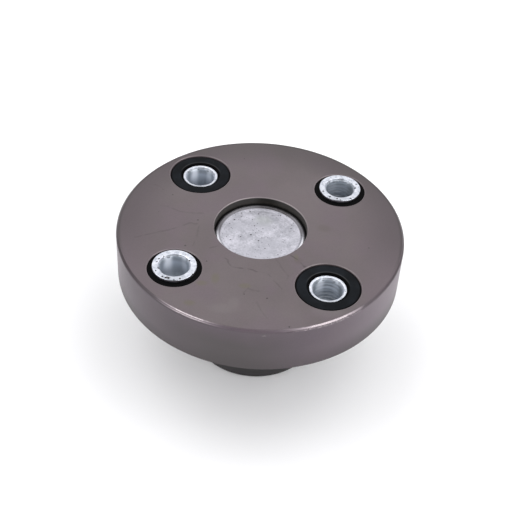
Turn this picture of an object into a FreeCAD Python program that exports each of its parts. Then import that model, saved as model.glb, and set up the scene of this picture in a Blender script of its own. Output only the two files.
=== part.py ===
import FreeCAD, Part
import math
import os

# Shaft coupling: a flange disc with a hub below it. The two are turned from one piece, and are
# two solids here that meet face to face just under the disc. Rubber bushes with steel sleeves sit
# in stepped holes round the disc, in turn from above and from below, and take the bolts of the
# driving flange. A pressed steel cap closes the shaft bore at the disc's face.
# Millimetres. The hub's end face is at height 0, +Z runs up the shaft axis to the disc's face.

# Disc and hub
disc_diameter = 127.0
disc_thickness = 23.2
disc_face_chamfer = 1.0
disc_back_chamfer = 0.6
hub_diameter = 58.0
hub_length = 44.0
hub_end_chamfer = 0.8
hub_root_fillet = 2.0
hub_boss_height = 3.0

# Shaft bore, open at the hub's end
shaft_bore_diameter = 31.75
shaft_bore_chamfer = 1.0
keyway_width = 6.35
keyway_depth = 2.97

# Plug: a sheet cap, skirt down, in a seat in the disc's face; its face lies below its rim
plug_seat_diameter = 41.3
plug_face_depth = 4.25
plug_height = 9.0
plug_sheet = 1.2
plug_rim_rise = 0.6
plug_rim_width = 1.95
plug_step_width = 0.9
plug_shoulder_fillet = 1.6
plug_step_fillet = 0.5
plug_inner_fillet = 0.4
plug_press_clearance = 0.0

# Bush stations round the disc, and the metal left between a bush's seat and the disc's edge
bush_count = 4
bush_hole_diameter = 23.3
bush_flange_diameter = 28.0
bush_flange_depth = 6.0
bush_rim_wall = 3.45
hole_edge_chamfer = 0.3

# Rubber bush: its wide flange end, then its narrow tapered end
rubber_setback = 0.45
rubber_edge_fillet = 0.9
rubber_mouth_diameter = 17.8
rubber_mouth_fillet = 0.6
rubber_mouth_depth = 1.8
rubber_end_diameter = 18.4
rubber_taper_depth = 0.6
rubber_bond_clearance = 0.0

# Steel sleeve: plain end in the bush's wide end, head over its narrow end
sleeve_bore_diameter = 12.3
sleeve_diameter = 15.9
sleeve_setback = 1.27
sleeve_head_diameter = 19.0
sleeve_head_thickness = 1.2
sleeve_head_stand = 1.46
sleeve_mouth_width = 0.65
sleeve_mouth_depth = 0.95
sleeve_edge_chamfer = 0.2
sleeve_head_fillet = 0.3

# How far a cutter runs past the face that it opens
overrun = 1.0

# Sizes that follow from those above
bolt_circle_diameter = disc_diameter - bush_flange_diameter - 2 * bush_rim_wall
disc_back_height = hub_length
disc_face_height = hub_length + disc_thickness
hub_top_height = disc_back_height - hub_boss_height
plug_rim_height = disc_face_height - plug_face_depth + plug_rim_rise
plug_seat_height = plug_rim_height - plug_height
rubber_end_stand = sleeve_head_stand - sleeve_head_thickness

AXIS_POINT = FreeCAD.Vector(0, 0, 0)
UP = FreeCAD.Vector(0, 0, 1)


def corner(radius, height, chamfer=0.0, fillet=0.0):
    """One corner of a half section, with the chamfer or fillet that breaks it."""
    return FreeCAD.Vector(radius, 0, height), chamfer, fillet


def broken_corner(before, here, after):
    """Where the outline enters and leaves a corner, and the edge between the two."""
    at, chamfer, fillet = here
    back = (before[0] - at).normalize()
    ahead = (after[0] - at).normalize()
    if fillet:
        half_angle = back.getAngle(ahead) / 2
        reach = fillet / math.tan(half_angle)
        bisector = (back + ahead).normalize()
        middle = at + bisector * (fillet / math.sin(half_angle) - fillet)
        entry = at + back * reach
        leaving = at + ahead * reach
        return entry, leaving, Part.Arc(entry, middle, leaving).toShape()
    if chamfer:
        entry = at + back * chamfer
        leaving = at + ahead * chamfer
        return entry, leaving, Part.LineSegment(entry, leaving).toShape()
    return at, at, None


def turned(corners):
    """A solid turned about Z from the corners of its half section, in order."""
    count = len(corners)
    breaks = [
        broken_corner(corners[index - 1], corners[index], corners[(index + 1) % count])
        for index in range(count)
    ]
    edges = []
    for index, (entry, leaving, edge) in enumerate(breaks):
        if edge:
            edges.append(edge)
        next_entry = breaks[(index + 1) % count][0]
        edges.append(Part.LineSegment(leaving, next_entry).toShape())
    return Part.Face(Part.Wire(edges)).revolve(AXIS_POINT, UP, 360)


def at_station(shape, index):
    """Move a shape from its own axis to a station of the bolt circle.

    The shape is drawn with the face where the bush's wide end sits at height 0 and the disc
    below it. Even stations are turned over, so that the wide end faces the hub.
    """
    angle = 2 * math.pi * index / bush_count
    turned_over = index % 2 == 0
    height = disc_back_height if turned_over else disc_face_height
    place = FreeCAD.Vector(
        bolt_circle_diameter / 2 * math.cos(angle),
        bolt_circle_diameter / 2 * math.sin(angle),
        height,
    )
    flip = FreeCAD.Rotation(FreeCAD.Vector(1, 0, 0), 180 if turned_over else 0)
    placed = shape.copy()
    placed.Placement = FreeCAD.Placement(place, flip)
    return placed


def stepped_hole():
    """Cutter for one bush: a wide seat for its flange, then a hole through the disc."""
    wide = bush_flange_diameter / 2
    narrow = bush_hole_diameter / 2
    flare = hole_edge_chamfer + overrun
    return turned(
        [
            corner(0, overrun),
            corner(wide + flare, overrun),
            corner(wide, -hole_edge_chamfer),
            corner(wide, -bush_flange_depth),
            corner(narrow, -bush_flange_depth),
            corner(narrow, hole_edge_chamfer - disc_thickness),
            corner(narrow + flare, -disc_thickness - overrun),
            corner(0, -disc_thickness - overrun),
        ]
    )


def keyway():
    """Cutter for the keyway, from the hub's end up to the ledge under the plug."""
    reach = shaft_bore_diameter / 2 + keyway_depth
    corner_point = FreeCAD.Vector(0, -keyway_width / 2, -overrun)
    return Part.makeBox(reach, keyway_width, plug_seat_height + 2 * overrun, corner_point)


def flange_disc():
    """Disc with its stepped holes, the plug's seat and the first of the hub below it."""
    disc = disc_diameter / 2
    boss = hub_diameter / 2
    bore = shaft_bore_diameter / 2
    seat = plug_seat_diameter / 2
    body = turned(
        [
            corner(bore, hub_top_height),
            corner(boss, hub_top_height),
            corner(boss, disc_back_height, fillet=hub_root_fillet),
            corner(disc, disc_back_height, chamfer=disc_back_chamfer),
            corner(disc, disc_face_height, chamfer=disc_face_chamfer),
            corner(seat, disc_face_height, chamfer=hole_edge_chamfer),
            corner(seat, plug_seat_height),
            corner(bore, plug_seat_height, chamfer=hole_edge_chamfer),
        ]
    )
    cutters = [at_station(stepped_hole(), index) for index in range(bush_count)]
    return body.cut(cutters + [keyway()])


def hub():
    outside = hub_diameter / 2
    bore = shaft_bore_diameter / 2
    body = turned(
        [
            corner(bore, 0, chamfer=shaft_bore_chamfer),
            corner(outside, 0, chamfer=hub_end_chamfer),
            corner(outside, hub_top_height),
            corner(bore, hub_top_height),
        ]
    )
    return body.cut(keyway())


def bore_plug():
    """Cap pressed from sheet: a skirt on the seat's ledge, a round shoulder, a sunken face."""
    outside = plug_seat_diameter / 2 - plug_press_clearance
    inside = outside - plug_sheet
    step_top = outside - plug_rim_width
    step_foot = step_top - plug_step_width
    face = plug_rim_height - plug_rim_rise
    return turned(
        [
            corner(0, face),
            corner(step_foot, face, fillet=plug_step_fillet),
            corner(step_top, plug_rim_height, fillet=plug_step_fillet),
            corner(outside, plug_rim_height, fillet=plug_shoulder_fillet),
            corner(outside, plug_seat_height),
            corner(inside, plug_seat_height),
            corner(inside, plug_rim_height - plug_sheet, fillet=plug_inner_fillet),
            corner(step_top, plug_rim_height - plug_sheet, fillet=plug_step_fillet),
            corner(step_foot, face - plug_sheet, fillet=plug_step_fillet),
            corner(0, face - plug_sheet),
        ]
    )


def rubber_bush():
    """Flanged bush, wide end at height 0; its narrow end rises to the sleeve's head."""
    wide = bush_flange_diameter / 2 - rubber_bond_clearance
    narrow = bush_hole_diameter / 2 - rubber_bond_clearance
    sleeve = sleeve_diameter / 2 + rubber_bond_clearance
    mouth_bottom = -rubber_setback - rubber_mouth_depth
    return turned(
        [
            corner(sleeve, mouth_bottom),
            corner(rubber_mouth_diameter / 2, -rubber_setback, fillet=rubber_mouth_fillet),
            corner(wide, -rubber_setback, fillet=rubber_edge_fillet),
            corner(wide, -bush_flange_depth),
            corner(narrow, -bush_flange_depth),
            corner(narrow, rubber_taper_depth - disc_thickness),
            corner(rubber_end_diameter / 2, -disc_thickness - rubber_end_stand),
            corner(sleeve, -disc_thickness - rubber_end_stand),
        ]
    )


def pin_sleeve():
    """Tube with a flat head: plain end inside the bush's wide end, head over its narrow end."""
    bore = sleeve_bore_diameter / 2
    mouth = bore + sleeve_mouth_width
    outside = sleeve_diameter / 2
    head = sleeve_head_diameter / 2
    head_face = -disc_thickness - sleeve_head_stand
    head_back = -disc_thickness - rubber_end_stand
    return turned(
        [
            corner(bore, -sleeve_setback - sleeve_mouth_depth),
            corner(mouth, -sleeve_setback),
            corner(outside, -sleeve_setback, chamfer=sleeve_edge_chamfer),
            corner(outside, head_back),
            corner(head, head_back),
            corner(head, head_face, fillet=sleeve_head_fillet),
            corner(mouth, head_face),
            corner(bore, head_face + sleeve_mouth_depth),
        ]
    )


os.makedirs("parts", exist_ok=True)
nodes = {"flange_disc": flange_disc(), "hub": hub(), "bore_plug": bore_plug()}
for station in range(bush_count):
    nodes[f"rubber_bush_{station + 1}"] = at_station(rubber_bush(), station)
    nodes[f"pin_sleeve_{station + 1}"] = at_station(pin_sleeve(), station)
for name, shape in nodes.items():
    shape.exportStep(f"parts/{name}.step")
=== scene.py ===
import math
from functools import reduce
from operator import and_, or_

import bmesh
import bpy
from bpy.props import FloatProperty, FloatVectorProperty, PointerProperty
from mathutils import Matrix, Vector


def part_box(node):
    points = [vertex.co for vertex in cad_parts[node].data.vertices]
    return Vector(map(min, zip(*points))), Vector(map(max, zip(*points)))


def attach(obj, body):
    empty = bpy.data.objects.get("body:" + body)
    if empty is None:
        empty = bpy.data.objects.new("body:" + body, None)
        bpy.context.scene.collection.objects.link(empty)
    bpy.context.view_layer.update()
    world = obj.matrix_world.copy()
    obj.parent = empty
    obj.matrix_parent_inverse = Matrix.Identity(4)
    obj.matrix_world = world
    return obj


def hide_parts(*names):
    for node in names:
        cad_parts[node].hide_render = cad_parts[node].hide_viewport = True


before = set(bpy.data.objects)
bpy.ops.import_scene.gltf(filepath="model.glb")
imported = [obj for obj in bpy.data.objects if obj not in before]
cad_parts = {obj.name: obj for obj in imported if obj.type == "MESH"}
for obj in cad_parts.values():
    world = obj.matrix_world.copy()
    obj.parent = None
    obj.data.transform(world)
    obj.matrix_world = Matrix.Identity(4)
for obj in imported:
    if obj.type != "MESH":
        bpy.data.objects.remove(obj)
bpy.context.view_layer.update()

bl_info = {
    "name": "Shaft coupling",
    "version": (1, 0, 0),
    "blender": (4, 5, 0),
    "location": "3D View > Sidebar > Coupling",
    "description": "Models and dresses a flanged shaft coupling with rubber-bushed bolt holes",
    "category": "Object",
}

# The CAD model's boxes, which the pieces are modelled in, in metres
DISC_LOW, DISC_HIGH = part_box("flange_disc")
HUB_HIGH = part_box("hub")[1]
PLUG_LOW, PLUG_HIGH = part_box("bore_plug")
HEADED_LOW, HEADED_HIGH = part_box("pin_sleeve_1")
PLAIN_LOW, PLAIN_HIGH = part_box("pin_sleeve_2")
BUSH_LOW, BUSH_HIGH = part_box("rubber_bush_2")

BODY = "root"
STATIONS = (1, 2, 3, 4)
HEADS_UP = (1, 3)
MILLIMETRE = 0.001
FACE_HEIGHT = DISC_HIGH.z
DISC_RADIUS = DISC_HIGH.x
HUB_RADIUS = HUB_HIGH.x
BOLT_RADIUS = (HEADED_LOW.x + HEADED_HIGH.x) / 2
SEAT_RADIUS = PLUG_HIGH.x
WIDE_HOLE_RADIUS = BUSH_HIGH.x
HEAD_RADIUS = (HEADED_HIGH.x - HEADED_LOW.x) / 2

# In millimetres: from a bush's wide hole in to its narrow one, a countersink's depth, and the
# radius of the slope inside the plug's rim
HOLE_STEP = 2.35
MOUTH_DEPTH = 0.95
PLUG_SLOPE_RADIUS = 18.25

# The camera looks down on the disc from between the two nearest bushes
VIEW_TURN = math.radians(40.19)
VIEW_ELEVATION = math.radians(42.40)
VIEW_ROLL = math.radians(-3.747)
VIEW_DISTANCE = 0.46395
VIEW_RIGHT = 0.00057
VIEW_UP = -0.01456
LENS = 72.75

# Sides of the turned pieces, how sharp an edge stays when they are smoothed, and how near a
# point lies to the place that it belongs to
DISC_SIDES = 720
PLUG_SIDES = 192
SLEEVE_SIDES = 144
CUTTER_SIDES = 192
SHARP_ANGLE = math.radians(32)
TOUCH = 1e-6
EDGE_REACH = 0.2 * MILLIMETRE

# The highest value that the cloud pattern of the dents and chips can reach
HIGHEST_CLOUD = 1.5


def maths_node(operation):
    """A signal's method that adds one maths node."""
    return lambda signal, other=None: signal.finish.maths(operation, signal, other)


class Signal:
    """A number that runs through a finish's nodes. Sums on it add the maths nodes.

    first | second is the larger of two signals at each place, and first & second the smaller.
    """

    __add__ = __radd__ = maths_node("ADD")
    __mul__ = __rmul__ = maths_node("MULTIPLY")
    __sub__ = maths_node("SUBTRACT")
    __truediv__ = maths_node("DIVIDE")
    __or__ = maths_node("MAXIMUM")
    __and__ = maths_node("MINIMUM")
    __abs__ = maths_node("ABSOLUTE")

    def __init__(self, finish, socket):
        self.finish = finish
        self.socket = socket

    def __rsub__(self, other):
        return self.finish.maths("SUBTRACT", other, self)

    def fade(self, start, end):
        """Goes smoothly from 0 at start to 1 at end, whichever of the two is larger."""
        sockets = {"Value": self, "From Min": start, "From Max": end}
        made = self.finish.node("MapRange", sockets, interpolation_type="SMOOTHSTEP")
        return Signal(self.finish, made.outputs["Result"])


class Finish:
    """A material and the nodes that its look is drawn with, on lengths in millimetres."""

    def __init__(self, name, colour):
        self.slot = name
        self.colour = colour
        self.normal = None
        self.material = bpy.data.materials.new(name)
        self.material.use_nodes = True
        self.tree = self.material.node_tree
        self.tree.nodes.clear()
        self.shader = self.node("BsdfPrincipled", {})
        self.node("OutputMaterial", {"Surface": self.shader.outputs["BSDF"]})
        place = self.node("TexCoord", {}).outputs["Object"]
        self.place = self.vector("SCALE", place, scale=1 / MILLIMETRE)
        self.x, self.y, self.z = self.parts_of(self.place)

    def node(self, kind, sockets, **settings):
        """Add a shader node, with its settings, then the values or links of its sockets."""
        made = self.tree.nodes.new(f"ShaderNode{kind}")
        for name, value in settings.items():
            setattr(made, name, value)
        for name, value in sockets.items():
            self.feed(made.inputs[name], value)
        return made

    def feed(self, socket, value):
        """Set a socket to a number or colour, or link it to a signal."""
        if isinstance(value, Signal):
            value = value.socket
        if isinstance(value, bpy.types.NodeSocket):
            self.tree.links.new(value, socket)
        elif value is not None:
            socket.default_value = value

    def maths(self, operation, first, second=None):
        made = self.node("Math", {0: first, 1: second}, operation=operation)
        return Signal(self, made.outputs[0])

    def vector(self, operation, first, second=None, scale=None):
        """A vector sum, as a socket, or a signal where the sum gives a number."""
        made = self.node("VectorMath", {0: first, 1: second, 3: scale}, operation=operation)
        if operation in ("LENGTH", "DISTANCE", "DOT_PRODUCT"):
            return Signal(self, made.outputs["Value"])
        return made.outputs["Vector"]

    def length(self, across, along):
        return self.maths("SQRT", across * across + along * along)

    def noise(self, size, detail=2.0, place=None):
        """Cloudy pattern round 0.5, whose forms are about size millimetres across."""
        sockets = {"Vector": place or self.place, "Scale": 1 / size, "Detail": detail}
        return Signal(self, self.node("TexNoise", sockets).outputs["Fac"])

    def specks(self, cell, radius, share):
        """Small scattered dots: one in a cell, in a share of the cells."""
        made = self.node("TexVoronoi", {"Vector": self.place, "Scale": 1 / cell})
        number = self.node("SeparateColor", {"Color": made.outputs["Color"]})
        dot = Signal(self, made.outputs["Distance"]).fade(radius / cell, 0.5 * radius / cell)
        return dot * Signal(self, number.outputs["Red"]).fade(share + 0.01, share - 0.01)

    def stretched(self, across, up, detail=2.0):
        """Pattern for streaks and rings, its forms about 1 / across wide and 1 / up high."""
        return self.noise(1, detail, self.vector("MULTIPLY", self.place, (across, across, up)))

    def parts_of(self, vector):
        """A vector's three lengths, as signals."""
        parts = self.node("SeparateXYZ", {"Vector": vector})
        return [Signal(self, socket) for socket in parts.outputs]

    def facing_view(self, place=None):
        """A place on the disc as the camera sees it, and how far right and away that is."""
        flat = self.vector("MULTIPLY", place or self.place, (1, 1, 0))
        seen = self.node("Mapping", {"Vector": flat, "Rotation": (0, 0, VIEW_TURN)}).outputs["Vector"]
        return [seen] + self.parts_of(seen)[:2]

    def from_station(self):
        """The place from the nearest bush's axis, its length, and 1 round the two bushes on X.

        Those are the two whose sleeves' heads face up.
        """
        headed = self.maths("GREATER_THAN", abs(self.x), abs(self.y))
        reach = BOLT_RADIUS / MILLIMETRE
        centre_x = self.maths("SIGN", self.x) * headed * reach
        centre_y = self.maths("SIGN", self.y) * (1 - headed) * reach
        parts = {"X": self.x - centre_x, "Y": self.y - centre_y}
        offset = self.node("CombineXYZ", parts).outputs["Vector"]
        return offset, self.vector("LENGTH", offset), headed

    def mixed(self, share, first, second):
        """Colour from first to second by a share."""
        sockets = {0: share, 6: colour_of(first), 7: colour_of(second)}
        return self.node("Mix", sockets, data_type="RGBA").outputs[2]

    def cover(self, share, colour):
        """Mix a colour over the finish's colour so far, by a share."""
        self.colour = self.mixed(share, self.colour, colour)

    def relief(self, height, depth):
        """Add bump from a height between 0 and 1, at a depth in millimetres."""
        sockets = {"Distance": depth * MILLIMETRE, "Height": height, "Normal": self.normal}
        self.normal = self.node("Bump", sockets).outputs["Normal"]

    def paint(self, **sockets):
        """Feed the shader the colour, the relief and its sockets, with _ for a space in a name."""
        sockets.update(Base_Color=colour_of(self.colour), Normal=self.normal)
        for name, value in sockets.items():
            self.feed(self.shader.inputs[name.replace("_", " ")], value)
        return self


def colour_of(value):
    """A plain colour gets its fourth number, and a link stays as it is."""
    if isinstance(value, (Signal, bpy.types.NodeSocket)):
        return value
    return (value[0], value[1], value[2], 1.0)


def clear_selection():
    if bpy.context.mode != "OBJECT":
        bpy.ops.object.mode_set(mode="OBJECT")
    bpy.ops.object.select_all(action="DESELECT")


def choose(*pieces):
    """Select these pieces alone, the last of them active."""
    clear_selection()
    for piece in pieces:
        piece.select_set(True)
    bpy.context.view_layer.objects.active = pieces[-1]


def add_object(name, data):
    thing = bpy.data.objects.new(name, data)
    bpy.context.scene.collection.objects.link(thing)
    return thing


def turned(name, section, sides, solid=False):
    """A closed piece turned about Z, a ring at a time, from the corners of its half section.

    A solid piece starts and ends with small closed faces at its axis, and a ring is bridged
    from its last corner to its first.
    """
    clear_selection()
    radius, height = section[0]
    bpy.ops.mesh.primitive_circle_add(
        vertices=sides, radius=radius, fill_type="NGON" if solid else "NOTHING", location=(0, 0, height)
    )
    piece = bpy.context.object
    piece.name = name
    bpy.ops.object.transform_apply()
    bpy.ops.object.mode_set(mode="EDIT")
    bpy.ops.mesh.select_all(action="SELECT")
    for next_radius, next_height in section[1:]:
        rise = (0, 0, next_height - height)
        bpy.ops.mesh.extrude_region_move(TRANSFORM_OT_translate={"value": rise})
        growth = next_radius / radius
        bpy.ops.transform.resize(value=(growth, growth, 1), center_override=(0, 0, next_height))
        radius, height = next_radius, next_height
    if not solid:
        bpy.ops.mesh.select_all(action="DESELECT")
        bpy.ops.mesh.select_mode(type="EDGE")
        bpy.ops.mesh.select_non_manifold()
        bpy.ops.mesh.bridge_edge_loops()
    bpy.ops.mesh.select_all(action="SELECT")
    bpy.ops.mesh.normals_make_consistent(inside=False)
    bpy.ops.object.mode_set(mode="OBJECT")
    return piece


def between(start, end, count):
    """Corners spaced evenly on a straight run of a half section, without its first."""
    return [
        tuple(first + (last - first) * step / count for first, last in zip(start, end))
        for step in range(1, count + 1)
    ]


def is_at(point, radius, height):
    return abs(math.hypot(point.x, point.y) - radius) < TOUCH and abs(point.z - height) < TOUCH


def round_rings(piece, rings, width, segments):
    """Round the edges that run along some rings, given by radius and height."""
    choose(piece)
    bpy.ops.object.mode_set(mode="EDIT")
    bpy.ops.mesh.select_mode(type="EDGE")
    bpy.ops.mesh.select_all(action="DESELECT")
    edit_mesh = bmesh.from_edit_mesh(piece.data)
    for edge in edit_mesh.edges:
        first, second = (vertex.co for vertex in edge.verts)
        edge.select = any(is_at(first, *ring) and is_at(second, *ring) for ring in rings)
    bmesh.update_edit_mesh(piece.data)
    bpy.ops.mesh.bevel(offset=width, segments=segments, profile=0.5, affect="EDGES")
    bpy.ops.object.mode_set(mode="OBJECT")


def wear(piece, name, size, depth, touches):
    """Sink the points that touches() picks unevenly, by 0 to HIGHEST_CLOUD times a depth."""
    choose(piece)
    group = piece.vertex_groups.new(name=name)
    group.add([v.index for v in piece.data.vertices if touches(v.co)], 1.0, "REPLACE")
    texture = bpy.data.textures.new(name, "CLOUDS")
    texture.noise_scale = size
    dent = piece.modifiers.new(name, "DISPLACE")
    dent.texture = texture
    dent.texture_coords = "LOCAL"
    dent.direction = "NORMAL"
    dent.vertex_group = group.name
    dent.strength = depth
    dent.mid_level = HIGHEST_CLOUD
    bpy.ops.object.modifier_apply(modifier=name)
    piece.vertex_groups.clear()


def cut(piece, cutter):
    """Take a cutter's shape out of a piece."""
    choose(piece)
    hole = piece.modifiers.new("cut", "BOOLEAN")
    hole.operation = "DIFFERENCE"
    hole.solver = "EXACT"
    hole.object = cutter
    bpy.ops.object.modifier_apply(modifier="cut")
    bpy.data.objects.remove(cutter)


def station_place(station, height=0.0):
    angle = math.pi / 2 * (station - 1)
    return Vector((BOLT_RADIUS * math.cos(angle), BOLT_RADIUS * math.sin(angle), height))


def at_stations(shape, thickness):
    """Put copies of a shape at the four stations in its stead, two of them turned over.

    The shape is drawn with its wide or plain end at height 0, and a disc of this thickness below.
    """
    copies = []
    for station in STATIONS:
        turned_over = station in HEADS_UP
        copied = add_object(f"{shape.name}_{station}", shape.data.copy())
        copied.rotation_euler = (math.pi if turned_over else 0, 0, 0)
        copied.location = station_place(station, FACE_HEIGHT - (thickness if turned_over else 0))
        choose(copied)
        bpy.ops.object.transform_apply()
        copies.append(copied)
    bpy.data.objects.remove(shape)
    return copies


def settle(piece, finish, *nodes):
    """Smooth a finished piece, give it its finish, and let it stand for its CAD nodes."""
    choose(piece)
    bpy.ops.object.shade_smooth_by_angle(angle=SHARP_ANGLE)
    piece.data.materials.append(finish.material)
    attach(piece, BODY)
    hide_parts(*nodes)


# Marks in the coating of the disc's face, in millimetres right of the shaft and away from the
# camera: how strong a hairline is and the points it runs through
HAIRLINES = (
    (0.30, ((-54, 25.5), (-49, 25), (-45.5, 21.5))),
    (0.35, ((-45, 10), (-37, 7.5), (-33, 6.8), (-26, 6.8))),
    (0.45, ((-54, -11.5), (-47, -8.5), (-39, -4.8), (-31, -0.3), (-27, 0.3))),
    (0.30, ((-27, -1), (-27.5, -9), (-29, -15))),
    (0.45, ((-21, -16), (-17.5, -14))),
    (0.50, ((-14, -22), (-11, -27.5))),
    (0.65, ((-11, -27.5), (-5, -27.3), (0, -28.8))),
    (0.40, ((0, -28.8), (4, -30), (10, -38))),
    (0.35, ((-5.5, -43), (-3.5, -39.5), (1, -41))),
    (0.25, ((0, -47), (5, -57))),
    (0.30, ((7.5, -21), (13, -32))),
    (0.80, ((14, -17.5), (20, -24))),
)

# Soft patches on the face, the plug and the nearest head: place, half width and half length
PALE_PATCHES = ((-13, -52, 7, 3.5), (-9, -49, 3, 5), (30, -50, 9, 4))
YELLOW_PATCHES = (
    (-17.5, -34.5, 2.2, 3.8), (-23, -38, 3, 2), (-5, -38, 3.2, 1.9), (-27, -50, 3, 2),
    (16, -18.5, 1.4, 2.6),
)
BROWN_PATCHES = ((28, 2, 4, 3), (17, -20.5, 2.6, 2.6))
PLUG_STAINS = ((1, 9.5, 5, 4.5),)
# Painted shade on the plug's face, in soft patches
PLUG_SHADE_PATCHES = ((-1, 5, 8, 5), (-12, 4, 5, 4), (4, -6, 8, 5), (0, -12, 11, 6))
SOILED_PATCHES = ((-37.6, -37.4, 2.0, 0.9),)

# Dark specks: place and radius
SPECKS = (
    (-28, 2, 0.5), (-32, -15.5, 0.55), (-22, -24.5, 0.45), (-41, 18.5, 0.4), (-10, 49, 0.4),
    (4.5, -44.6, 0.5), (-5, -43, 0.4), (14, -60, 0.5), (47.5, -9.3, 0.45),
)

# The more worn stretch of the face chamfer, in millimetres right of the shaft
WORN_RIM_START = 13
WORN_RIM_END = 44

# Pits in the two heads that face up, and specks on the plug: place and radius
HEAD_PITS = (
    (-40.2, -24.6, 0.40), (-41.9, -26.3, 0.45), (-42.7, -28.2, 0.40), (-41.6, -31.8, 0.60),
    (-42.5, -33.8, 0.45), (-39.4, -36.9, 0.50), (-38.0, -37.5, 0.60), (-36.8, -37.7, 0.65),
    (-34.4, -38.5, 0.45), (-32.0, -37.7, 0.50), (-27.0, -34.5, 0.45), (-29.1, -26.1, 0.45),
    (42.8, 33.2, 0.45), (42.2, 30.5, 0.55), (27.5, 26.6, 0.55), (30.6, 22.9, 0.55),
    (33.8, 21.8, 0.45), (35.3, 20.9, 0.50), (39.9, 22.7, 0.50),
)
PLUG_SPECKS = (
    (-5.3, 15.4, 0.32), (-9.2, 13.9, 0.40), (-9.1, 11.6, 0.28), (-12.1, 9.0, 0.44),
    (-14.0, 6.3, 0.32), (-4.0, 9.8, 0.28), (-1.4, 14.2, 0.44), (-2.9, 5.7, 0.36), (-1.8, 3.9, 0.28),
    (0.9, 4.1, 0.32), (-4.2, -0.5, 0.48), (-8.7, -2.2, 0.36), (-14.8, -2.7, 0.32),
    (-13.0, -4.7, 0.40), (0.7, -2.1, 0.32), (3.3, -1.9, 0.28), (-0.6, -4.2, 0.40),
    (2.4, -9.2, 0.36), (8.2, -12.7, 0.32), (13.6, 5.5, 0.32), (13.8, 7.7, 0.40), (8.6, 13.9, 0.36),
    (11.3, 13.6, 0.28),
)


def distance_to_line(finish, place, start, end):
    """Distance in the plane from a place to a straight run between two points."""
    run = Vector((end[0] - start[0], end[1] - start[1], 0))
    reach = run.length
    from_start = finish.vector("SUBTRACT", place, (start[0], start[1], 0))
    along = (finish.vector("DOT_PRODUCT", from_start, tuple(run / reach)) | 0) & reach
    foot = finish.vector("SCALE", tuple(run / reach), scale=along)
    return finish.vector("DISTANCE", from_start, foot)


def patches(finish, place, outlines):
    """Soft elliptical patches, at their places and sizes."""
    masks = []
    for right, away, half_width, half_length in outlines:
        offset = finish.vector("SUBTRACT", place, (right, away, 0))
        scaled = finish.vector("MULTIPLY", offset, (1 / half_width, 1 / half_length, 0))
        masks.append(finish.vector("LENGTH", scaled).fade(1.15, 0.35))
    return reduce(or_, masks)


def dots(finish, place, marks):
    """Round marks with slightly ragged edges, at their places and sizes."""
    uneven = (finish.noise(0.7) - 0.5) * 0.5
    masks = []
    for right, away, size in marks:
        gap = finish.vector("DISTANCE", place, (right, away, 0))
        masks.append((gap + uneven).fade(size, 0.55 * size))
    return reduce(or_, masks)


def on_disc(right, away):
    """The point that lies this many millimetres right of the shaft and away from the camera."""
    return Matrix.Rotation(-VIEW_TURN, 3, "Z") @ Vector((right, away, 0)) * MILLIMETRE


def in_view(point):
    """How many millimetres a point lies right of the shaft and away from the camera."""
    seen = Matrix.Rotation(VIEW_TURN, 3, "Z") @ point / MILLIMETRE
    return seen.x, seen.y


def hairlines(finish, place):
    """Thin dry lines in the coating, that wander a little round their points."""
    wander = finish.node("TexNoise", {"Vector": place, "Scale": 0.16, "Detail": 2.0})
    wander = finish.vector("SUBTRACT", wander.outputs["Color"], (0.5, 0.5, 0.5))
    bent = finish.vector("ADD", place, finish.vector("SCALE", wander, scale=3.5))
    masks = []
    for strength, points in HAIRLINES:
        runs = [distance_to_line(finish, bent, start, end) for start, end in zip(points, points[1:])]
        masks.append(reduce(and_, runs).fade(0.7, 0.05) * strength)
    return reduce(or_, masks)


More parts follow.
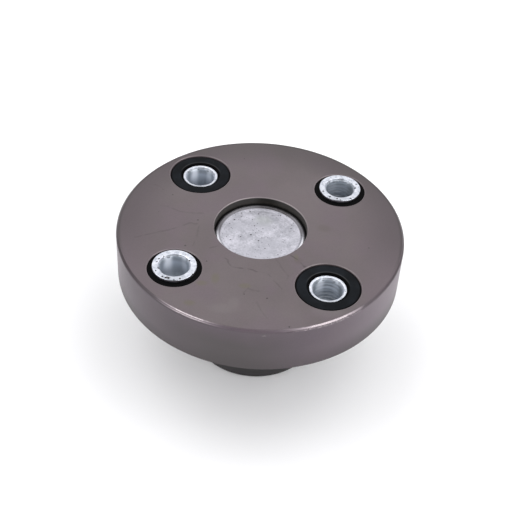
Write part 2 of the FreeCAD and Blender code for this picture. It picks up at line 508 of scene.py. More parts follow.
def coated_aluminium(colours):
    """Brown-grey satin coating with dry lines and specks, worn to bare metal on its rims, with painted
    shade on its side, the far part of its face, the plug's seat and the hub, and painted light on its
    side, seat wall and edges.
    """
    finish = Finish("coated_aluminium", colours.coating)
    radius = finish.length(finish.x, finish.y)
    height = finish.z - FACE_HEIGHT / MILLIMETRE
    from_rim = radius - DISC_RADIUS / MILLIMETRE
    from_seat = radius - SEAT_RADIUS / MILLIMETRE
    above_hub = finish.z - HUB_HIGH.z / MILLIMETRE
    face = height.fade(-0.3, -0.05)
    seen, right, away = finish.facing_view()

    # Cloudy coat, with fine upright streaks on the walls
    clouds = finish.noise(26, detail=3)
    streaks = finish.stretched(0.16, 0.02, detail=3).fade(0.4, 0.8)
    grain = finish.noise(0.5, detail=3)
    finish.cover(clouds.fade(0.3, 0.7), colours.coating_light)
    finish.cover(finish.noise(7, detail=3).fade(0.5, 0.75) * 0.35, colours.coating_warm)
    wall = from_rim.fade(-1.3, -0.6) * (1 - face)
    finish.cover(wall, colours.coating_wall)
    finish.cover(wall * streaks * 0.05, colours.coating_light)
    mauve = finish.noise(15).fade(0.42, 0.66) * 0.6
    finish.cover(mauve | abs(right).fade(36, 58) * face * 0.7, colours.coating_mauve)
    finish.cover(grain.fade(0.3, 0.8) * 0.12, colours.dark_marks_and_shade)
    # Painted shade: a greenish-grey darker patch on the near front of the side, stronger towards its
    # bottom
    front_shade = abs(right + 11).fade(40, 5) * away.fade(-20, -50) * wall
    front_shade = front_shade * (finish.noise(9) * 6 - height).fade(2, 14)
    finish.cover(front_shade * 0.72, colours.front_wall_shade)
    # Painted reflection: the right and the far left of the side paler
    painted_wall_light = right.fade(22, 64) * 0.5 | right.fade(-55, -62) * 0.5
    finish.cover(painted_wall_light * wall, colours.painted_wall_reflection)
    # Painted shade: the side darker towards its bottom, most near its two ends as seen, and along its
    # left-middle stretch
    low = height.fade(-12, -23) * (abs(right).fade(20, 52) * 0.35 + 0.35)
    low = low | height.fade(-16, -22.5) * abs(abs(right) - 55).fade(6, 1) * 0.95
    shade = abs(right + 42).fade(25, 8) * 0.2
    finish.cover((low | shade) * wall, colours.dark_marks_and_shade)
    ragged = finish.noise(1.3, detail=3)
    nick = finish.length((right - 4.4) / 1.5, (height + 2.8) / 0.5) + (ragged - 0.5) * 3
    nick = nick.fade(1.1, 0.3) * away.fade(-50, -55) * wall
    finish.cover(nick * 0.7, colours.pale_mark)

    # Marks on the face
    finish.cover(patches(finish, seen, PALE_PATCHES) * face * 0.16, colours.pale_mark)
    finish.cover(patches(finish, seen, YELLOW_PATCHES) * face * 0.55, colours.yellow_mark)
    finish.cover(patches(finish, seen, BROWN_PATCHES) * face * 0.3, colours.brown_mark)
    # Painted shade: the far outer part of the face darker
    far_right = right.fade(-5, 30) * away.fade(15, 45)
    far_shade = radius.fade(38, 62) * away.fade(-36, 2) * (far_right * 0.12 + 0.46)
    finish.cover(far_shade * face, colours.dark_marks_and_shade)
    broken = finish.noise(5).fade(0.25, 0.5)
    finish.cover(hairlines(finish, seen) * broken * face * 0.75, colours.dark_marks_and_shade)
    specks = dots(finish, seen, SPECKS) * face
    specks = specks | finish.specks(11, 0.35, 0.22) * (face | wall)
    finish.cover(specks * 0.85, colours.dark_marks_and_shade)

    # Painted shade over the machined wall of the plug's seat, with darker tool bands, a black painted
    # shadow at the plug and paler sides as painted light; the hub in painted shade
    seat = from_seat.fade(0.2, 0.08) * above_hub.fade(1, 2)
    seam_shadow = height + (finish.noise(0.9, detail=3) - 0.5) * 1.6
    bands = finish.stretched(0.03, 1.4).fade(0.35, 0.6) * 0.45
    wall_tone = finish.mixed(bands, colours.shaded_seat_wall, colours.seat_shadow_and_bands)
    wall_tone = finish.mixed(abs(right - 2.2).fade(2, 7) * 0.55, wall_tone, colours.seat_painted_light)
    wall_tone = finish.mixed(seam_shadow.fade(-4.2, -2.9), colours.seat_shadow_and_bands, wall_tone)
    finish.cover(seat, wall_tone)
    # Painted shade: the hub painted dark
    finish.cover(above_hub.fade(3.2, 2.6), colours.hub)

    # Rims where the coating is thin: the disc's face edge and the edges of the holes; a painted
    # highlight along the disc's back edge and on the seat's far edge
    worn = right.fade(WORN_RIM_START - 4, WORN_RIM_START + 8)
    below = worn * (ragged.fade(0.35, 0.65) * 0.35 + 0.35)
    edge = (height + worn * 0.2).fade(0.0, -0.12) * (height + below).fade(-1.15, -1.0)
    edge = edge * from_rim.fade(-1.2, -1.05)
    thin = abs(right + 27).fade(17, 3) | abs(right - 30).fade(24, 4) | 0.07
    thin = thin * right.fade(WORN_RIM_END + 1, WORN_RIM_END - 1.5) * right.fade(-43, -40)
    thin = thin * away.fade(0, -20)
    outline = face * from_rim.fade(-2.4, -1.3) * away.fade(-30, -5) * 0.8
    sides = abs(right).fade(30, 44) * 0.7 + abs(right).fade(52, 61) * 0.4
    finish.cover((edge * (1 - thin) * sides | outline) * 0.65, colours.dark_marks_and_shade)
    two_lines = abs(height + 0.2).fade(0.25, 0.1) | abs(height + 0.8).fade(0.22, 0.1) * 0.75
    top_rim = edge * thin * (worn * 0.78 | two_lines * 0.8 + 0.2)
    scraped = worn * 0.15 + two_lines * (0.32 - worn * 0.12)
    bare = edge * (ragged * 0.8 + thin * 0.8).fade(1.0, 1.25) * scraped
    under = abs(height + 1.3).fade(0.45, 0.15) * abs(right + 30).fade(18, 9) * wall
    finish.cover(under * away.fade(0, -20) * 0.2, colours.dark_marks_and_shade)
    # Painted highlight along the disc's back edge, in the colour of bare metal
    low_rim_highlight = height.fade(-22.5, -22.75) * from_rim.fade(-0.75, -0.65)
    _, from_axis, headed = finish.from_station()
    hole = WIDE_HOLE_RADIUS / MILLIMETRE - headed * HOLE_STEP
    from_edge = abs(from_axis - hole - 0.15) & abs(from_seat - 0.1)
    hole_edge = from_edge.fade(0.32, 0.14) * height.fade(-0.5, -0.3)
    # Bare-metal wear on the holes' edges, stronger on the seat's far edge as painted highlight
    hole_edge = hole_edge * (radius.fade(24, 22) * away.fade(-4, 8) * 1.2 + 1)
    finish.cover(top_rim, colours.rim)
    finish.cover(bare, colours.worn_metal_and_sheen)
    finish.cover(low_rim_highlight * 0.25 | hole_edge * 0.13, colours.worn_metal_and_sheen)
    shiny = top_rim * 0.7 | low_rim_highlight * 0.3 | hole_edge * 0.16
    rough = 0.39 + (clouds - 0.5) * 0.12 + (grain - 0.5) * 0.1 - top_rim * 0.2 + seat * 0.2
    rough = rough + ragged * top_rim * 0.1
    finish.relief(grain, 0.004)
    finish.relief(finish.stretched(0.001, 2.2, detail=1) * (1 - face), 0.02)
    return finish.paint(Metallic=shiny, Roughness=rough, Specular_IOR_Level=0.45)


def plug_steel(colours):
    """Dull grey plated sheet, frosted, mottled and dotted with dark specks, with painted shade in
    patches on its face and round its slope and far rim, and a painted highlight on the near side of its
    rim.
    """
    finish = Finish("plug_steel", colours.plug_mottle_and_shade)
    seen, right, away = finish.facing_view()
    mottle = finish.noise(7, detail=3)
    frost = finish.noise(0.8, detail=4)
    tone = (mottle * 0.55 + frost * 0.45).fade(0.34, 0.68)
    finish.cover(tone, colours.plug)
    finish.cover(patches(finish, seen, PLUG_STAINS) * 0.5, colours.plug_stain)
    # Painted shade in soft patches on the plug's face
    finish.cover(patches(finish, seen, PLUG_SHADE_PATCHES) * 0.5, colours.plug_mottle_and_shade)
    small = finish.specks(2.3, 0.32, 0.6) | finish.specks(1.4, 0.24, 0.6)
    marks = dots(finish, seen, PLUG_SPECKS) | small * 0.8
    finish.cover(marks * 0.85, colours.pit)
    # Painted light round the rim: a painted highlight on its near side, and painted shade on the slope
    # away from the near side, darkest and patchy over the slope and rim on the far side
    past_slope = finish.length(finish.x, finish.y) - PLUG_SLOPE_RADIUS
    slope = past_slope.fade(-0.7, -0.2)
    rim = past_slope.fade(0.2, 0.7)
    far = away.fade(-5, 3)
    finish.cover(rim * (1 - far) * 0.8, colours.plug_rim)
    finish.cover(slope * (1 - rim) * away.fade(-14, -4) * 0.5, colours.plug_mottle_and_shade)
    finish.cover((slope * 0.72 | past_slope.fade(0.6, 1.8)) * far, colours.pit)
    far_rim_shade = (frost * 0.5 + mottle * 0.5).fade(0.36, 0.54) * abs(right - 6).fade(10, 4)
    finish.cover(far_rim_shade * far * (slope | rim) * 0.75, colours.pit)
    finish.relief(frost, 0.012)
    finish.relief(1 - marks, 0.06)
    rough = 0.42 + tone * 0.14 + marks * 0.2 - rim * (1 - far) * 0.2
    return finish.paint(Metallic=1.0, Roughness=rough)


def zinc_steel(colours):
    """Bright bluish zinc plating, with small pits, and tool rings down the bores, with painted shade on
    the near sides, in the bores and on the countersinks' far sides, and painted highlights down the
    bores.
    """
    finish = Finish("zinc_steel", colours.zinc_dull)
    seen, from_shaft, from_nearest = finish.facing_view()
    offset, from_axis, headed = finish.from_station()
    _, right, away = finish.facing_view(offset)
    mottle = finish.noise(1.6, detail=3)
    finish.cover(mottle.fade(0.3, 0.7), colours.zinc)
    # Painted shade on the near side of each sleeve
    finish.cover(away.fade(-4, -8) * 0.45, colours.zinc_near_shade)

    # Frosted bores, those right of the shaft with their tool rings; painted shade darkens them with
    # depth, at their sides and most in those right of the shaft, between two pale streaks of painted
    # highlight
    plain_middle = (PLAIN_LOW.z + PLAIN_HIGH.z) / 2 / MILLIMETRE
    headed_middle = (HEADED_LOW.z + HEADED_HIGH.z) / 2 / MILLIMETRE
    from_middle = abs(finish.z - plain_middle - headed * (headed_middle - plain_middle))
    scallops = finish.stretched(0.62, 0.05, detail=1)
    below_mouth = (PLAIN_HIGH.z - PLAIN_LOW.z) / 2 / MILLIMETRE - MOUTH_DEPTH - from_middle
    bore = from_axis.fade(6.55, 6.35) * (below_mouth - (scallops - 0.5) * 4).fade(-0.2, 0.1)
    deep = from_middle.fade(9, 2)
    ringed = from_shaft.fade(-6, 6)
    farther = from_nearest.fade(-6, 6)
    wander = finish.stretched(0.05, 0.6)
    rings = finish.maths("SINE", finish.z * 3.1 + wander * 9) * 0.5 + 0.5
    right_highlight_streak = abs(right - 3.6).fade(1.8, 0.3) * (farther * 0.15 + 0.35)
    streaks = abs(right + 3.1).fade(2.5, 0.4) | right_highlight_streak
    streaks = streaks * (1 - ringed * (farther * 0.55 + 0.25)) * (1 - deep * 0.7)
    painted_bore_shade = deep * 0.85 | abs(right).fade(4.1, 5.5) * (ringed * 0.3 + 0.5)
    painted_bore_shade = painted_bore_shade | ringed * farther * (right.fade(2, 5) * 0.45 + 0.5) | from_middle.fade(7, 10) * 0.6
    finish.cover(bore, colours.bore)
    lines = rings.fade(0.5, 0.9) * ringed * 0.75
    finish.cover(bore * (lines | painted_bore_shade), colours.bore_shade_and_rings)
    finish.cover(bore * streaks, colours.streak)

    # Pits, the larger of them in the heads that face up, and none in the countersinks
    cone = from_axis.fade(7.0, 6.85) * (1 - bore)
    # Painted shade, patchy, on the far side of the countersinks
    far_shade = scallops.fade(0.42, 0.58) * 0.45 + 0.3 + farther * 0.12
    finish.cover(cone * away.fade(0, 4) * far_shade, colours.bore_shade_and_rings)
    on_head = (finish.z - FACE_HEIGHT / MILLIMETRE).fade(0.4, 0.8)
    soiled = patches(finish, seen, SOILED_PATCHES) * finish.noise(0.8).fade(0.4, 0.55)
    small = finish.specks(0.8, 0.24, 0.3) * finish.noise(5).fade(0.44, 0.58)
    pits = dots(finish, seen, HEAD_PITS) * on_head | small * (1 - bore - cone)
    finish.cover(pits | soiled * 0.8, colours.pit)
    rough = 0.22 + mottle * 0.14 + pits * 0.3 + cone * 0.06 + bore * 0.06
    finish.relief(rings * ringed * bore, 0.15)
    finish.relief(finish.noise(0.6) * (1 - bore), 0.012)
    finish.relief(1 - pits, 0.08)
    return finish.paint(Roughness=rough, Metallic=1 - bore * (streaks * 0.45 + 0.5) - cone * 0.4)


def bush_rubber(colours):
    """Matte black moulded rubber with a bluish film and a little dust on its wide faces, painted shade
    at its edges, recess and narrow end, and a painted highlight on its recess's far lip.
    """
    finish = Finish("bush_rubber", colours.rubber)
    offset, from_axis, headed = finish.from_station()
    away = finish.facing_view(offset)[2]
    film = finish.noise(7, detail=3)
    finish.cover(film.fade(0.35, 0.7), colours.rubber_dusty)

    # Painted shade: black at the rounded edge, in the recess round the sleeve and at the narrow end; a
    # painted highlight on the recess's far lip, and pale dust
    middle = (DISC_LOW.z + DISC_HIGH.z) / 2 / MILLIMETRE
    upper = finish.z.fade(middle - 2, middle + 2)
    narrow = headed * upper + (1 - headed) * (1 - upper)
    black = from_axis.fade(12.9, 13.6) | from_axis.fade(9.3, 8.9) | narrow
    lip_highlight = abs(from_axis - 9.35).fade(0.35, 0.1) * away.fade(1, 6) * (1 - narrow)
    dust = finish.specks(2.6, 0.14, 0.3) * (1 - narrow)
    finish.cover(black, colours.shaded_rubber_black)
    finish.cover(dust * 0.4 | lip_highlight * 0.2, colours.dust)
    finish.relief(finish.noise(0.35, detail=3), 0.02)
    return finish.paint(Roughness=0.46 + film * 0.16 + black * 0.2, Specular_IOR_Level=0.05)


def tint(description, default):
    return FloatVectorProperty(
        description=description, default=default, subtype="COLOR", size=3, min=0, max=1
    )


def length(description, millimetres):
    default = millimetres * MILLIMETRE
    return FloatProperty(
        description=description, default=default, min=0, subtype="DISTANCE", unit="LENGTH", precision=5
    )


def amount(description, default):
    return FloatProperty(description=description, default=default, min=0)


def labelled(group):
    """Label each property of a group with its own name."""
    for name, made in group.__annotations__.items():
        made.keywords["name"] = name.replace("_", " ").capitalize()
    return group


@labelled
class CouplingColours(bpy.types.PropertyGroup):
    coating: tint("Brown-grey of the disc", (0.094, 0.075, 0.08))
    coating_light: tint("Paler clouds in it", (0.11, 0.089, 0.095))
    coating_warm: tint("Pinkish patches in it", (0.112, 0.085, 0.092))
    coating_wall: tint("Mauve of the disc's side", (0.096, 0.0705, 0.0895))
    coating_mauve: tint("Mauve clouds in it", (0.105, 0.078, 0.094))
    # Painted reflection on the disc's side
    painted_wall_reflection: tint("Paler stretch of the disc's side", (0.19, 0.148, 0.176))
    # Painted shade on the near front of the disc's side
    front_wall_shade: tint("Greenish-grey stain on that side", (0.051, 0.0445, 0.0425))
    # Also painted shade on the disc's side and the far part of its face
    dark_marks_and_shade: tint("Dry lines and specks", (0.022, 0.017, 0.017))
    pale_mark: tint("Wiped patches on the face", (0.17, 0.155, 0.155))
    yellow_mark: tint("Greenish-yellow drops", (0.095, 0.083, 0.054))
    brown_mark: tint("Oily patches", (0.066, 0.05, 0.042))
    # Painted shade of the wall over the plug
    shaded_seat_wall: tint("Dark machined wall over the plug", (0.026, 0.023, 0.018))
    # Painted light on the sides of that wall
    seat_painted_light: tint("Paler sides of that wall", (0.075, 0.07, 0.066))
    # Painted shadow at the plug, also in the wall's darker tool bands
    seat_shadow_and_bands: tint("Black of that wall near the plug", (0.004, 0.004, 0.004))
    # Painted shade on the hub
    hub: tint("Dark coat of the hub", (0.027, 0.0245, 0.0255))
    rim: tint("Thin coating on the disc's chamfer", (0.33, 0.285, 0.305))
    # Also a painted highlight on the disc's back edge and the seat's far edge
    worn_metal_and_sheen: tint("Bare metal on the rims", (0.72, 0.64, 0.66))
    plug: tint("Plated sheet of the plug", (0.61, 0.6, 0.66))
    # Painted highlight on the near side of the plug's rim
    plug_rim: tint("Bright near side of its rim", (0.85, 0.85, 0.9))
    # Mottles, and painted shade in patches on the plug's face and on its slope
    plug_mottle_and_shade: tint("Darker mottles on it", (0.36, 0.36, 0.4))
    plug_stain: tint("Greenish-grey stains on it", (0.36, 0.38, 0.37))
    zinc: tint("Bright plating of the sleeves", (0.76, 0.78, 0.85))
    zinc_dull: tint("Duller clouds in it", (0.52, 0.55, 0.62))
    # Painted shade
    zinc_near_shade: tint("Darker near side of the sleeves", (0.4, 0.42, 0.46))
    bore: tint("Bluish wall of the sleeves' bores", (0.56, 0.62, 0.71))
    # Painted highlights down the bores
    streak: tint("Pale streaks down the bores", (0.84, 0.88, 0.96))
    # Painted shade in the bores and on the countersinks' far sides, and the bores' tool rings
    bore_shade_and_rings: tint("Darker wall down the bores", (0.25, 0.275, 0.31))
    # Also painted shade on the plug's slope and far rim
    pit: tint("Pits and specks in the plating", (0.05, 0.045, 0.045))
    rubber: tint("Black of the bushes", (0.0048, 0.0056, 0.007))
    rubber_dusty: tint("Film on the bushes", (0.0088, 0.0105, 0.0135))
    # Painted shade at the bushes' edges, recess and narrow end
    shaded_rubber_black: tint("Black of its edges", (0.0015, 0.0015, 0.0018))
    # Dust, and also a painted highlight on the lip of the bushes' recess
    dust: tint("Pale dust on the bushes", (0.12, 0.12, 0.12))


@labelled
class CouplingSizes(bpy.types.PropertyGroup):
    disc_thickness: length("From the disc's face to its back", 23.2)
    face_chamfer: length("Broken edge of the disc's face", 1.0)
    back_chamfer: length("Broken edge of the disc's back", 0.6)
    root_fillet: length("Rounding between the hub and the disc", 2.0)
    end_chamfer: length("Broken outer edge of the hub's end", 0.8)
    hole_edge: length("Broken edges of the holes and the seat", 0.3)
    bore_radius: length("Shaft bore up the hub", 15.875)
    bore_chamfer: length("Broken edge at the mouth of the bore", 1.0)
    key_width: length("Width of the keyway in the bore", 6.35)
    key_reach: length("From the shaft axis to its floor", 18.845)
    hole_radius: length("Narrow run of the bushes' holes", 11.65)
    step_depth: length("Depth of the holes' wide run", 6.0)
    tool_ring: length("Depth of the turned rings in the face chamfer", 0.025)
    chip: length("Depth of the chips in its lower edge", 0.1)
    worn_chip: length("Depth of the chips where that edge is more worn", 0.22)
    plug_sheet: length("Thickness of the plug", 1.2)
    plug_rim: length("Width of the plug's raised rim", 1.95)
    plug_rise: length("From the plug's face up to its rim", 0.6)
    plug_step: length("Width of the slope inside the rim", 0.9)
    plug_shoulder: length("Rounding of the rim's outer edge", 1.6)
    plug_mark: length("Radius of the ring at the plug's centre", 2.2)
    plug_dent: length("Unevenness of the plug's face", 0.12)
    tube_radius: length("Outside of the sleeves", 7.95)
    tube_bore: length("Radius of the sleeves' holes", 6.15)
    tube_mouth: length("Countersink of the sleeves' holes", 0.65)
    mouth_depth: length("Depth of that countersink", MOUTH_DEPTH)
    head_height: length("Thickness of the sleeves' heads", 1.2)
    burr: length("Unevenness of the countersink's edges", 0.16)
    pit_depth: length("Depth of the pits in the heads", 0.14)
    pitting: length("Unevenness of the sleeves' end faces", 0.05)
    mouth_radius: length("Recess in the bush round the sleeve", 8.9)
    rubber_mouth: length("Depth of that recess", 1.8)
    rubber_end: length("Radius of the bush's narrow face", 9.2)
    rubber_taper: length("Height of the narrow end's taper in the hole", 0.6)
    rubber_edge: length("Rounding of the bush's wide edge", 0.9)


@labelled
class CouplingStage(bpy.types.PropertyGroup):
    floor_colour: tint("Pale floor", (0.94, 0.94, 0.95))
    left_glow: amount("Brightness of the left panel", 2.6)
    right_glow: amount("Brightness of the right panel", 3.45)
    fill_glow: amount("Brightness of the two high panels", 1.5)
    back_glow: amount("Brightness of the panel behind", 1.0)
    room_glow: amount("Brightness of the room all round", 0.15)
    lens: amount("Focal length in millimetres", LENS)


# Panels of light that face the disc: name, brightness, turn to the right of the camera and height
# in degrees, and size in metres
PANELS = (
    ("left_panel", "left_glow", -62, 37, (3.4, 1.5)),
    ("right_panel", "right_glow", 56, 38, (3.4, 1.5)),
    ("left_fill", "fill_glow", -112, 60, (2.4, 2.4)),
    ("right_fill", "fill_glow", 112, 60, (2.4, 2.4)),
    ("back_panel", "back_glow", 180, 47, (7.0, 3.8)),
)
PANEL_DISTANCE = 3.0
ROOM_COLOUR = (0.96, 0.97, 1.0)


def around(turn, elevation, distance):
    """A point round the disc's face, from a turn to the right of the camera and a height."""
    heading = turn - math.pi / 2
    flat = Vector((math.cos(heading), math.sin(heading), 0)) * math.cos(elevation)
    point = flat + Vector((0, 0, math.sin(elevation)))
    return Matrix.Rotation(-VIEW_TURN, 3, "Z") @ point * distance


class COUPLING_OT_stage(bpy.types.Operator):
    """Pale floor, soft panels of light and the camera"""

    bl_idname = "coupling.stage"
    bl_label = "Stage"

    def execute(self, context):
        settings = context.scene.coupling_stage
        self.make_floor(settings)
        for name, glow, turn, elevation, size in PANELS:
            self.make_panel(name, getattr(settings, glow), turn, elevation, size)
        world = bpy.data.worlds.new("room")
        context.scene.world = world
        world.use_nodes = True
        background = world.node_tree.nodes["Background"]
        background.inputs["Color"].default_value = colour_of(ROOM_COLOUR)
        background.inputs["Strength"].default_value = settings.room_glow
        context.scene.view_settings.view_transform = "Standard"
        self.make_camera(context, settings)
        return {"FINISHED"}

    def make_floor(self, settings):
        clear_selection()
        bpy.ops.mesh.primitive_grid_add(x_subdivisions=8, y_subdivisions=8, size=12, location=(0, 0, 0))
        floor = bpy.context.object
        floor.name = "floor"
        finish = Finish("pale_floor", settings.floor_colour)
        floor.data.materials.append(finish.paint(Roughness=0.7, Specular_IOR_Level=0.2).material)

    def make_panel(self, name, glow, turn, elevation, size):
        """A rectangular panel of light that faces the disc; glow is its brightness as seen."""
        light = bpy.data.lights.new(name, "AREA")
        light.shape = "RECTANGLE"
        light.size, light.size_y = size
        light.energy = glow * math.pi * size[0] * size[1]
        panel = add_object(name, light)
        offset = around(math.radians(turn), math.radians(elevation), PANEL_DISTANCE)
        panel.location = Vector((0, 0, FACE_HEIGHT)) + offset
        panel.rotation_euler = offset.to_track_quat("Z", "Y").to_euler()
        panel.visible_camera = False

    def make_camera(self, context, settings):
        forward = -around(0, VIEW_ELEVATION, 1)
        right = around(math.pi / 2, 0, 1)
        up = right.cross(forward)
        aim = Vector((0, 0, FACE_HEIGHT)) + right * VIEW_RIGHT + up * VIEW_UP
        data = bpy.data.cameras.new("view")
        data.lens = settings.lens
        data.clip_start = 0.01
        camera = add_object("view", data)
        axes = Matrix((right, up, -forward)).transposed() @ Matrix.Rotation(-VIEW_ROLL, 3, "Z")
        camera.matrix_world = Matrix.Translation(aim - forward * VIEW_DISTANCE) @ axes.to_4x4()
        context.scene.camera = camera


class COUPLING_OT_flange(bpy.types.Operator):
    """Disc and hub, turned in one piece, with their holes and a worn, tool-marked rim"""

    bl_idname = "coupling.flange"
    bl_label = "Disc and hub"

    def execute(self, context):
        sizes = context.scene.coupling_sizes
        body = self.turn_body(sizes)
        cut(body, self.hole_cutter(sizes))
        cut(body, self.key_cutter(sizes))
        edge_height = FACE_HEIGHT - sizes.face_chamfer

        def on_edge(point):
            return is_at(point, DISC_RADIUS, edge_height)

        def on_worn_edge(point):
            right, away = in_view(point)
            in_stretch = WORN_RIM_START < right < WORN_RIM_END and away < 0
            on_rim = math.hypot(point.x, point.y) > DISC_RADIUS - EDGE_REACH
            return in_stretch and on_rim and abs(point.z - edge_height) < EDGE_REACH

        wear(body, "chips", 1.6 * MILLIMETRE, sizes.chip, on_edge)
        wear(body, "worn_chips", 1.1 * MILLIMETRE, sizes.worn_chip, on_worn_edge)
        settle(body, coated_aluminium(context.scene.coupling_colours), "flange_disc", "hub")
        return {"FINISHED"}

    def turn_body(self, sizes):
        back = FACE_HEIGHT - sizes.disc_thickness
        edge_height = FACE_HEIGHT - sizes.face_chamfer
        bore, seat_height = sizes.bore_radius, PLUG_LOW.z
        edge = sizes.hole_edge
        section = [
            (bore + sizes.bore_chamfer, 0),
            (HUB_RADIUS - sizes.end_chamfer, 0),
            (HUB_RADIUS, sizes.end_chamfer),
            (HUB_RADIUS, back),
            (DISC_RADIUS - sizes.back_chamfer, back),
            (DISC_RADIUS, back + sizes.back_chamfer),
            (DISC_RADIUS, edge_height - MILLIMETRE),
            (DISC_RADIUS, edge_height - 0.5 * MILLIMETRE),
            (DISC_RADIUS, edge_height),
        ]
        section += self.tool_rings(section[-1], sizes)
        section += [
            (SEAT_RADIUS + edge, FACE_HEIGHT),
            (SEAT_RADIUS, FACE_HEIGHT - edge),
            (SEAT_RADIUS, seat_height),
            (bore + edge, seat_height),
            (bore, seat_height - edge),
            (bore, sizes.bore_chamfer),
        ]
        body = turned("coated_flange", section, DISC_SIDES)
        round_rings(body, [(HUB_RADIUS, back)], sizes.root_fillet, 6)
        return body

    def tool_rings(self, start, sizes, count=4):
        """Corners up the face chamfer, sunk between the crests of the turned rings."""
        end = (start[0] - sizes.face_chamfer, FACE_HEIGHT)
        sunk = sizes.tool_ring * math.sqrt(0.5)
        corners = between(start, end, 2 * count)
        for index in range(0, len(corners), 2):
            radius, height = corners[index]
            corners[index] = (radius - sunk, height - sunk)
        return corners

    def hole_cutter(self, sizes):
        """The stepped holes of all four bushes, wide from above and from below in turn."""
        wide, narrow, edge = WIDE_HOLE_RADIUS, sizes.hole_radius, sizes.hole_edge
        thickness, over = sizes.disc_thickness, MILLIMETRE
        section = [
            (over, over),
            (wide + edge + over, over),
            (wide, -edge),
            (wide, -sizes.step_depth),
            (narrow, -sizes.step_depth),
            (narrow, edge - thickness),
            (narrow + edge + over, -thickness - over),
            (over, -thickness - over),
        ]
        shape = turned("hole_cutter", section, CUTTER_SIDES, solid=True)
        cutters = at_stations(shape, thickness)
        choose(*cutters)
        bpy.ops.object.join()
        return cutters[-1]

    def key_cutter(self, sizes):
        clear_selection()
        low, high = -MILLIMETRE, PLUG_LOW.z + MILLIMETRE
        bpy.ops.mesh.primitive_cube_add(size=1, location=(sizes.key_reach / 2, 0, (low + high) / 2))
        cutter = bpy.context.object
        cutter.scale = (sizes.key_reach, sizes.key_width, high - low)
        bpy.ops.object.transform_apply()
        return cutter


class COUPLING_OT_plug(bpy.types.Operator):
    """Sheet cap pressed into the bore, with a raised rim, a punch mark and soft dents"""

    bl_idname = "coupling.plug"
    bl_label = "Bore plug"

    def execute(self, context):
        sizes = context.scene.coupling_sizes
        outside, sheet = SEAT_RADIUS, sizes.plug_sheet
        rim_height, foot = PLUG_HIGH.z, PLUG_LOW.z
        face = rim_height - sizes.plug_rise
        step_top = outside - sizes.plug_rim
        step_foot = step_top - sizes.plug_step
        mark = sizes.plug_mark
        groove, floor, bank = 0.06 * MILLIMETRE, 0.15 * MILLIMETRE, 0.4 * MILLIMETRE
        centre, rounding = 0.3 * MILLIMETRE, 0.35 * MILLIMETRE
        section = [
            (centre, face - sheet),
            (step_foot, face - sheet),
            (step_top, rim_height - sheet),
            (outside - sheet, rim_height - sheet),
            (outside - sheet, foot),
            (outside, foot),
            (outside, rim_height),
            (step_top, rim_height),
            (step_foot, face),
        ]
        section += between((step_foot, face), (mark + bank, face), 24)
        section += [(mark + floor, face - groove), (mark - floor, face - groove), (mark - bank, face)]
        section += between((mark - bank, face), (centre, face), 3)
        plug = turned("pressed_plug", section, PLUG_SIDES, solid=True)
        round_rings(plug, [(outside, rim_height)], sizes.plug_shoulder, 8)
        round_rings(plug, [(step_top, rim_height), (step_foot, face)], rounding, 4)

        def on_face(point):
            within = math.hypot(point.x, point.y) < step_foot - MILLIMETRE
            return within and abs(point.z - face) < EDGE_REACH / 2

        wear(plug, "dents", 6 * MILLIMETRE, sizes.plug_dent, on_face)
        settle(plug, plug_steel(context.scene.coupling_colours), "bore_plug")
        return {"FINISHED"}


class COUPLING_OT_bushes(bpy.types.Operator):
    """Moulded rubber bushes in the stepped holes"""

    bl_idname = "coupling.bushes"
    bl_label = "Rubber bushes"

    def execute(self, context):
        sizes = context.scene.coupling_sizes
        finish = bush_rubber(context.scene.coupling_colours)
        bushes = at_stations(self.mould(sizes), sizes.disc_thickness)
        for station, bush in zip(STATIONS, bushes):
            settle(bush, finish, f"rubber_bush_{station}")
        return {"FINISHED"}

    def mould(self, sizes):
        """A bush on the Z axis, its wide end just below height 0."""
        top = BUSH_HIGH.z - FACE_HEIGHT
        bottom = BUSH_LOW.z - FACE_HEIGHT
        wide, narrow = WIDE_HOLE_RADIUS, sizes.hole_radius
        section = [
            (sizes.tube_radius, top - sizes.rubber_mouth),
            (sizes.mouth_radius, top),
            (wide, top),
            (wide, -sizes.step_depth),
            (narrow, -sizes.step_depth),
            (narrow, sizes.rubber_taper - sizes.disc_thickness),
            (sizes.rubber_end, bottom),
            (sizes.tube_radius, bottom),
        ]
        shape = turned("moulded_bush", section, SLEEVE_SIDES)
        round_rings(shape, [(wide, top)], sizes.rubber_edge, 6)
        round_rings(shape, [(sizes.mouth_radius, top)], 0.35 * MILLIMETRE, 4)
        return shape


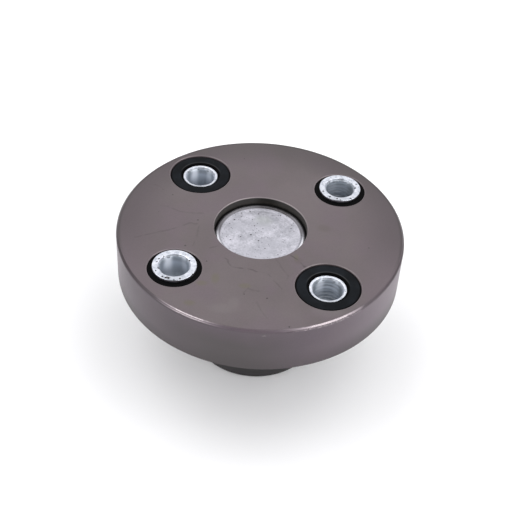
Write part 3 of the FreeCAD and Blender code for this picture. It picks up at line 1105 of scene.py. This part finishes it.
class COUPLING_OT_sleeves(bpy.types.Operator):
    """Zinc-plated sleeves in the bushes, headed at one end"""

    bl_idname = "coupling.sleeves"
    bl_label = "Sleeves"

    def execute(self, context):
        sizes = context.scene.coupling_sizes
        finish = zinc_steel(context.scene.coupling_colours)
        sleeves = at_stations(self.turn_sleeve(sizes), sizes.disc_thickness)
        for station, sleeve in zip(STATIONS, sleeves):
            self.roughen(sleeve, station_place(station), sizes)
            settle(sleeve, finish, f"pin_sleeve_{station}")
        return {"FINISHED"}

    def turn_sleeve(self, sizes):
        """A sleeve on the Z axis, its plain end just below height 0 and its head at the bottom."""
        top = PLAIN_HIGH.z - FACE_HEIGHT
        bottom = PLAIN_LOW.z - FACE_HEIGHT
        bore, tube = sizes.tube_bore, sizes.tube_radius
        mouth, drop = bore + sizes.tube_mouth, sizes.mouth_depth
        head_back = bottom + sizes.head_height
        section = [(bore, top - drop)]
        section += between(section[-1], (mouth, top), 5)
        section += between(section[-1], (tube, top), 4)
        section += [(tube, head_back), (HEAD_RADIUS, head_back), (HEAD_RADIUS, bottom)]
        section.append((HEAD_RADIUS - 0.4 * MILLIMETRE, bottom))
        section += between(section[-1], (mouth, bottom), 9)
        section += between(section[-1], (bore, bottom + drop), 5)
        section += between(section[-1], (bore, top - drop), 24)[:-1]
        shape = turned("headed_sleeve", section, SLEEVE_SIDES)
        round_rings(shape, [(tube, top)], 0.2 * MILLIMETRE, 3)
        round_rings(shape, [(HEAD_RADIUS, bottom)], 0.3 * MILLIMETRE, 4)
        return shape

    def roughen(self, sleeve, axis, sizes):
        """Uneven countersinks, and end faces that are a little lumpy under their plating."""
        bore, mouth = sizes.tube_bore, sizes.tube_bore + sizes.tube_mouth
        heights = [vertex.co.z for vertex in sleeve.data.vertices]
        ends = (max(heights), min(heights))
        pits = [(on_disc(right, away).xy, size * MILLIMETRE) for right, away, size in HEAD_PITS]

        def from_axis(point):
            return math.hypot(point.x - axis.x, point.y - axis.y)

        def from_end(point):
            return min(abs(point.z - end) for end in ends)

        def on_lip(point):
            near_end = from_end(point) < sizes.mouth_depth + TOUCH
            return from_axis(point) < mouth + TOUCH and (near_end or from_axis(point) > bore + TOUCH)

        def on_end(point):
            return from_end(point) < TOUCH and from_axis(point) > mouth + TOUCH

        def in_pit(point):
            gaps = [math.dist(point.xy, pit) - size for pit, size in pits]
            return point.z > FACE_HEIGHT + MILLIMETRE and min(gaps) < 0

        wear(sleeve, "burrs", 2.6 * MILLIMETRE, sizes.burr, on_lip)
        wear(sleeve, "pits", 0.5 * MILLIMETRE, sizes.pit_depth, in_pit)
        wear(sleeve, "lumps", 0.9 * MILLIMETRE, sizes.pitting, on_end)


class COUPLING_PT_panel(bpy.types.Panel):
    """Buttons for each piece of the coupling, and its sizes and colours"""

    bl_idname = "COUPLING_PT_panel"
    bl_label = "Shaft coupling"
    bl_space_type = "VIEW_3D"
    bl_region_type = "UI"
    bl_category = "Coupling"

    def draw(self, context):
        scene = context.scene
        for operator in OPERATORS:
            self.layout.operator(operator.bl_idname)
        for group in (scene.coupling_sizes, scene.coupling_colours, scene.coupling_stage):
            for name in group.__annotations__:
                self.layout.prop(group, name)


OPERATORS = (
    COUPLING_OT_flange, COUPLING_OT_plug, COUPLING_OT_bushes, COUPLING_OT_sleeves, COUPLING_OT_stage
)
CLASSES = (CouplingColours, CouplingSizes, CouplingStage) + OPERATORS + (COUPLING_PT_panel,)


def register():
    for cls in CLASSES:
        bpy.utils.register_class(cls)
    bpy.types.Scene.coupling_colours = PointerProperty(type=CouplingColours)
    bpy.types.Scene.coupling_sizes = PointerProperty(type=CouplingSizes)
    bpy.types.Scene.coupling_stage = PointerProperty(type=CouplingStage)


def unregister():
    del bpy.types.Scene.coupling_stage
    del bpy.types.Scene.coupling_sizes
    del bpy.types.Scene.coupling_colours
    for cls in reversed(CLASSES):
        bpy.utils.unregister_class(cls)


def main():
    register()
    clear_selection()
    bpy.ops.coupling.stage()
    bpy.ops.coupling.flange()
    bpy.ops.coupling.plug()
    bpy.ops.coupling.bushes()
    bpy.ops.coupling.sleeves()


if __name__ == "__main__":
    main()
